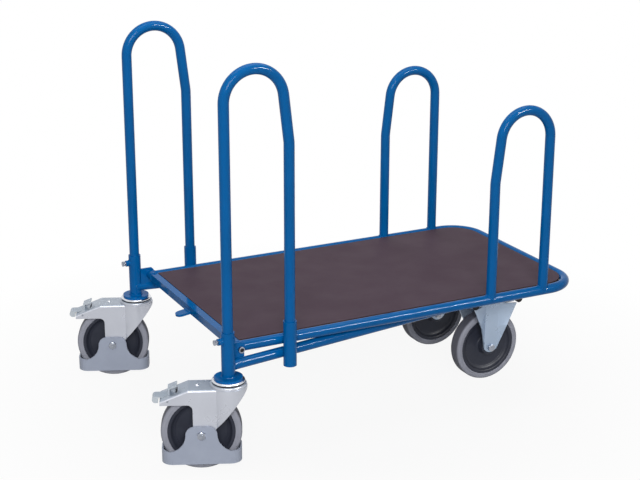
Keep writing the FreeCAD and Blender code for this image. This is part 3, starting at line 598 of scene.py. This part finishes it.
def plated_sheet(name, colour, shade):
    """Zinc plating over rolled sheet, with the faint lines of the mill, and its upward faces
    painted a darker grey as painted shade.
    """
    material = finish(
        name, colour, shade, 14.0, (0.26, 0.36), 500.0, 0.000008, metallic=0.45, mirror=0.3)
    tree = material.node_tree
    lines = placed_group(tree, rolled, {"Lines per metre": 260.0})
    bump = tree.nodes.new("ShaderNodeBump")
    bump.inputs["Distance"].default_value = 0.000012
    shader = tree.nodes["Principled BSDF"]
    tree.links.new(lines["Height"], bump.inputs["Height"])
    bare = shader.inputs["Base Color"].links[0].from_socket
    # Painted shade on the tops of the sheet.
    shaded_top = placed_group(tree, top_shade_group, {"Colour": bare, "Top shade": linear(146, 158, 172)})
    tree.links.new(shaded_top["Colour"], shader.inputs["Base Color"])
    tree.links.new(shader.inputs["Normal"].links[0].from_socket, bump.inputs["Normal"])
    tree.links.new(bump.outputs["Normal"], shader.inputs["Normal"])
    return material


fork_zinc = plated_sheet("plated_fork_sheet", (191, 194, 203), (184, 187, 196))
coat(fork_zinc, *sides("swivel_fork"))
front_turn = math.radians(-23.5)
crown_height = 0.0075
rivet_back = 0.0767
for side in ("left", "right"):
    post = middle_of("post_" + side)
    arm_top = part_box("swivel_fork_" + side)[1].z - crown_height
    behind = Vector((-math.cos(front_turn), -math.sin(front_turn), 0))
    spot = Vector((post.x, post.y, arm_top)) + behind * rivet_back
    rivet = bmesh.new()
    add_turned(rivet, [
        (-0.0005, 0.0046), (0.0002, 0.0046), (0.0012, 0.0041), (0.0019, 0.0029), (0.0022, 0.0012),
    ], spot, UP, 24)
    piece("arm_rivet_" + side, rivet, chrome, "zinc_steel", "swivel_" + side)

# Brake pedals
# Folded from 3.2 mm plated sheet on a pin through the fork's arm: a pad to press, a flap with a
# solid round toe to release, and a shoe above the tyre.
pedal_zinc = plated_sheet("plated_pedal_sheet", (186, 193, 200), (172, 180, 188))
coat(pedal_zinc, *sides("brake_pedal"))
coat(zinc, *sides("brake_pin"))

# Foot guards
# Grey moulded plastic, left bare of lettering, hung on the axle outside the swivel forks.


def softened(node, width, material, slot):
    """The node's own shape with its sharp edges rounded, as a press or a mould leaves them."""
    shape = bmesh.new()
    shape.from_mesh(frame["nodes"][node].data)
    bmesh.ops.remove_doubles(shape, verts=shape.verts, dist=0.000002)
    bmesh.ops.dissolve_limit(
        shape, angle_limit=math.radians(0.6), verts=shape.verts, edges=shape.edges)
    folds = [edge for edge in shape.edges if edge.is_manifold]
    sharp = [edge for edge in folds if edge.calc_face_angle(0) > math.radians(32)]
    bmesh.ops.bevel(shape, geom=sharp, offset=width, offset_type="OFFSET", segments=2, profile=0.5,
                    affect="EDGES", clamp_overlap=True)
    body = frame["nodes"][node]["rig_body"]
    made = piece(node + "_shown", shape, material, slot, body, node)
    even = made.modifiers.new("even_normals", "WEIGHTED_NORMAL")
    even.keep_sharp = True


guard_plastic = finish(
    "grey_guard_plastic", (156, 163, 179), (151, 158, 174), 20.0, (0.42, 0.55), 1100.0, 0.00002,
    mirror=0.2)
for name in sides("foot_guard"):
    softened(name, 0.0013, guard_plastic, "grey_guard_plastic")

# Axle bolts and nuts
# Zinc-plated hexagon bolts with washers; the front ones clamp guard and fork, the rear ones the
# fork alone. The nut sits on the cart's left.
front_axle = Vector((-math.sin(front_turn), math.cos(front_turn), 0))
axle_r = 0.006
axle_flats = 0.019


def add_axle(head, end, centre, axle, half):
    seat = centre - axle * half
    add_hex(head, seat, -axle, axle_flats, 0.0075)
    add_turned(head, [(-0.0004, 0.0094), (0.0, 0.0094), (0.0, axle_r), (2 * half, axle_r)]
               + thread(2 * half + 0.0005, 2 * half + 0.01, axle_r, 0.00175), seat, axle, 36)
    add_turned(head, [(-0.0078, 0.0022), (-0.0082, 0.0038), (-0.0074, 0.0042)], seat, axle, 24)
    far = centre + axle * half
    add_hex(end, far, axle, axle_flats, 0.0092)


half_front = 0.04
half_rear = 0.035
for side in ("left", "right"):
    head = bmesh.new()
    end = bmesh.new()
    add_axle(head, end, middle_of("tyre_front_" + side), front_axle, half_front)
    body = "swivel_" + side
    bolt = "swivel_axle_bolt_"
    nut = "swivel_axle_nut_"
    piece(bolt + "shown_" + side, head, zinc, "zinc_steel", body, bolt + side)
    piece(nut + "shown_" + side, end, zinc, "zinc_steel", body, nut + side)
head = bmesh.new()
end = bmesh.new()
for tyre in sides("tyre_rear"):
    add_axle(head, end, middle_of(tyre), ACROSS, half_rear)
piece("fixed_axle_bolts_shown", head, zinc, "zinc_steel", "chassis", "fixed_axle_bolts")
piece("fixed_axle_nuts_shown", end, zinc, "zinc_steel", "chassis", "fixed_axle_nuts")

# Wheels
# Grey elastic rubber moulded on a dark plastic rim with a dished web, on a bearing sleeve. The
# sidewall has a fine groove where the mould parts, and the tread is coloured a darker grey.
tyre_rubber = finish(
    "grey_tyre_rubber", (150, 152, 163), (143, 145, 156), 30.0, (0.55, 0.68), 900.0, 0.00003,
    mirror=0.1)
rim_plastic = finish(
    "dark_rim_plastic", (46, 49, 60), (40, 43, 54), 30.0, (0.36, 0.5), 1000.0, 0.00002, mirror=0.2)
tree = tyre_rubber.node_tree
shader = tree.nodes["Principled BSDF"]
# The tread is coloured a darker grey than the sidewall, through a mask of the tyre's radius.
tread_mask = tree.nodes.new("ShaderNodeAttribute")
tread_mask.attribute_name = "tread"
sidewall_tone = shader.inputs["Base Color"].links[0].from_socket
darker_tread = mixed(tree, tread_mask.outputs["Fac"], sidewall_tone, linear(96, 97, 106))
tree.links.new(darker_tread, shader.inputs["Base Color"])
tread_start = 0.0985
tread_full = 0.0998
turns = [math.radians(15 * k) for k in range(1, 7)]
shoulder = [(12 + 8 * math.cos(turn), 92 + 8 * math.sin(turn)) for turn in turns]
sidewall = [(16.0, 83.4), (18.6, 83.4), (19.6, 83.8), (20.0, 84.6), (20.0, 88.4), (19.6, 88.7),
            (19.6, 89.3), (20.0, 89.6), (20.0, 92.0)]
tyre_half = sidewall + shoulder + [(5.0, 100.0), (0.4, 100.0), (0.2, 99.8)]
rim_half = [(29.5, 13.1), (29.5, 21.2), (29.0, 22.6), (27.8, 23.8), (26.0, 24.4), (11.0, 25.4),
            (8.6, 26.4), (7.0, 28.6), (6.5, 31.5), (6.5, 63.0), (6.8, 64.0), (7.6, 64.6),
            (8.0, 65.6), (8.6, 68.0), (10.6, 71.2), (14.0, 73.6), (16.8, 75.0), (17.7, 76.2),
            (18.0, 77.8), (18.0, 83.4)]


def both_halves(half):
    """An outline in millimetres and its mirror image, as one loop in metres."""
    points = half + [(-across, radius) for across, radius in reversed(half)]
    return [(across / 1000, radius / 1000) for across, radius in points]


for side in ("left", "right"):
    for end, axle in (("front", front_axle), ("rear", ACROSS)):
        which = end + "_" + side
        centre = middle_of("tyre_" + which)
        body = end + "_wheel_" + side
        tyre = bmesh.new()
        add_turned(tyre, both_halves(tyre_half), centre, axle, 128, True)
        made = piece("tyre_shown_" + which, tyre, tyre_rubber, "grey_tyre", body, "tyre_" + which)
        tread = made.data.attributes.new("tread", "FLOAT", "POINT")
        for vertex, share in zip(made.data.vertices, tread.data):
            reach = (vertex.co - centre).cross(axle).length
            share.value = min(max((reach - tread_start) / (tread_full - tread_start), 0), 1)
        rim = bmesh.new()
        add_turned(rim, both_halves(rim_half), centre, axle, 128, True)
        piece("rim_shown_" + which, rim, rim_plastic, "dark_rim_plastic", body, "rim_" + which)
coat(chrome, *sides("wheel_bearing_front"), *sides("wheel_bearing_rear"))

# Fixed casters
# Pressed zinc-plated forks with flared leg edges, each bolted by its plate to a carrier plate.
fixed_zinc = plated_sheet("plated_fixed_fork_sheet", (162, 177, 196), (154, 170, 190))
coat(fixed_zinc, *sides("fixed_fork"))
bolts = bmesh.new()
nuts = bmesh.new()
bolt_out = 0.044
bolt_aside = 0.020
plate_under = 0.228
clamped = 0.009
caster_flats = 0.016
caster_bolt_r = 0.005
for tyre in sides("tyre_rear"):
    wheel = middle_of(tyre)
    for x in (-bolt_out, bolt_out):
        for y in (-bolt_aside, bolt_aside):
            seat = Vector((wheel.x + x, wheel.y + y, plate_under))
            add_hex(bolts, seat, -UP, caster_flats, 0.0064)
            tail = thread(0.0095, 0.017, caster_bolt_r, 0.0015)
            shank = [(0, caster_bolt_r), (clamped, caster_bolt_r)]
            add_turned(bolts, shank + tail, seat, UP, 32)
            add_hex(nuts, seat + UP * clamped, UP, caster_flats, 0.0076)
piece("caster_bolts_shown", bolts, zinc, "zinc_steel", "chassis", "caster_bolts")
piece("caster_nuts_shown", nuts, zinc, "zinc_steel", "chassis", "caster_nuts")

# Floor, light and camera
# A pale floor that keeps the cart's shadow and turns white further out, an even white room, a wide
# lamp overhead, broad ones in front and behind, and a card for the gloss to mirror.


def seen_ray(tree):
    """1 for rays from the camera, and for reflections and glass, so that all of them see white."""
    path = tree.nodes.new("ShaderNodeLightPath")
    total = path.outputs["Is Camera Ray"]
    for label in ("Is Glossy Ray", "Is Transmission Ray"):
        either = tree.nodes.new("ShaderNodeMath")
        either.operation = "MAXIMUM"
        tree.links.new(total, either.inputs[0])
        tree.links.new(path.outputs[label], either.inputs[1])
        total = either.outputs[0]
    return total


floor_reach = 3.2
shadow_share = 0.08
floor_shape = bmesh.new()
bmesh.ops.create_circle(floor_shape, cap_ends=True, segments=96, radius=floor_reach)
floor_mesh = bpy.data.meshes.new("floor")
floor_shape.to_mesh(floor_mesh)
floor_shape.free()
floor = bpy.data.objects.new("floor", floor_mesh)
floor.location = (0, 0, -0.0005)
bpy.context.scene.collection.objects.link(floor)
floor_paint = bpy.data.materials.new("pale_floor")
floor_paint.use_nodes = True
tree = floor_paint.node_tree
tree.nodes.clear()
ground = tree.nodes.new("ShaderNodeBsdfDiffuse")
ground.inputs["Color"].default_value = (0.4, 0.4, 0.4, 1)
white = tree.nodes.new("ShaderNodeEmission")
white.inputs["Color"].default_value = (1, 1, 1, 1)
place = tree.nodes.new("ShaderNodeTexCoord")
distance = tree.nodes.new("ShaderNodeVectorMath")
distance.operation = "LENGTH"
tree.links.new(place.outputs["Object"], distance.inputs[0])
whiter = spread(tree, distance.outputs["Value"], 1 - shadow_share, 1.0, 0.5, 1.3)
share = tree.nodes.new("ShaderNodeMath")
share.operation = "MULTIPLY"
tree.links.new(whiter, share.inputs[0])
tree.links.new(seen_ray(tree), share.inputs[1])
blend = tree.nodes.new("ShaderNodeMixShader")
tree.links.new(share.outputs[0], blend.inputs[0])
tree.links.new(ground.outputs[0], blend.inputs[1])
tree.links.new(white.outputs[0], blend.inputs[2])
result = tree.nodes.new("ShaderNodeOutputMaterial")
tree.links.new(blend.outputs[0], result.inputs["Surface"])
floor_mesh.materials.append(floor_paint)

room_light = 0.2
room = bpy.data.worlds.new("white_room")
room.use_nodes = True
tree = room.node_tree
walls = tree.nodes["Background"]
walls.inputs["Color"].default_value = (1, 1, 1, 1)
tree.links.new(spread(tree, seen_ray(tree), room_light, 1.0, 0.0, 1.0), walls.inputs["Strength"])
bpy.context.scene.world = room


def soft_lamp(name, place, size, power, lights=True, shines=True):
    """An area lamp aimed at the cart's middle, for its light, for its reflection or for both."""
    lamp = bpy.data.lights.new(name, "AREA")
    lamp.shape = "RECTANGLE"
    lamp.size, lamp.size_y = size
    lamp.energy = power
    holder = bpy.data.objects.new(name, lamp)
    holder.location = place
    to_cart = Vector((0, 0, 0.35)) - holder.location
    holder.rotation_euler = to_cart.to_track_quat("-Z", "Y").to_euler()
    holder.visible_diffuse = lights
    holder.visible_glossy = shines
    bpy.context.scene.collection.objects.link(holder)


soft_lamp("overhead_lamp", (0, -0.15, 2.6), (2.6, 1.2), 27)
soft_lamp("front_lamp", (-2.6, -5.5, 3.2), (3.4, 2.2), 340)
soft_lamp("back_lamp", (0.6, 6.0, 2.4), (3.4, 2.2), 190, shines=False)
soft_lamp("shine_card", (2.1, -3.8, 2.6), (1.8, 0.4), 330, lights=False)

# The camera stands where the photograph was taken, measured from the near post's axis
near_post = middle_of("post_right")
lens = bpy.data.cameras.new("photo_camera")
lens.sensor_width = 36.0
lens.sensor_fit = "HORIZONTAL"
lens.lens = 81.472
camera = bpy.data.objects.new("photo_camera", lens)
rightwards = Vector((0.891445, -0.453123, 0.002114))
upwards = Vector((0.138445, 0.276807, 0.950900))
backwards = -Vector((0.431460, 0.847383, -0.309490))
stand = Matrix((rightwards, upwards, backwards)).transposed().to_4x4()
stand.translation = Vector((near_post.x - 1.277494, near_post.y - 2.999328, 1.645688))
camera.matrix_world = stand
bpy.context.scene.collection.objects.link(camera)
bpy.context.scene.camera = camera
bpy.context.scene.view_settings.view_transform = "Standard"
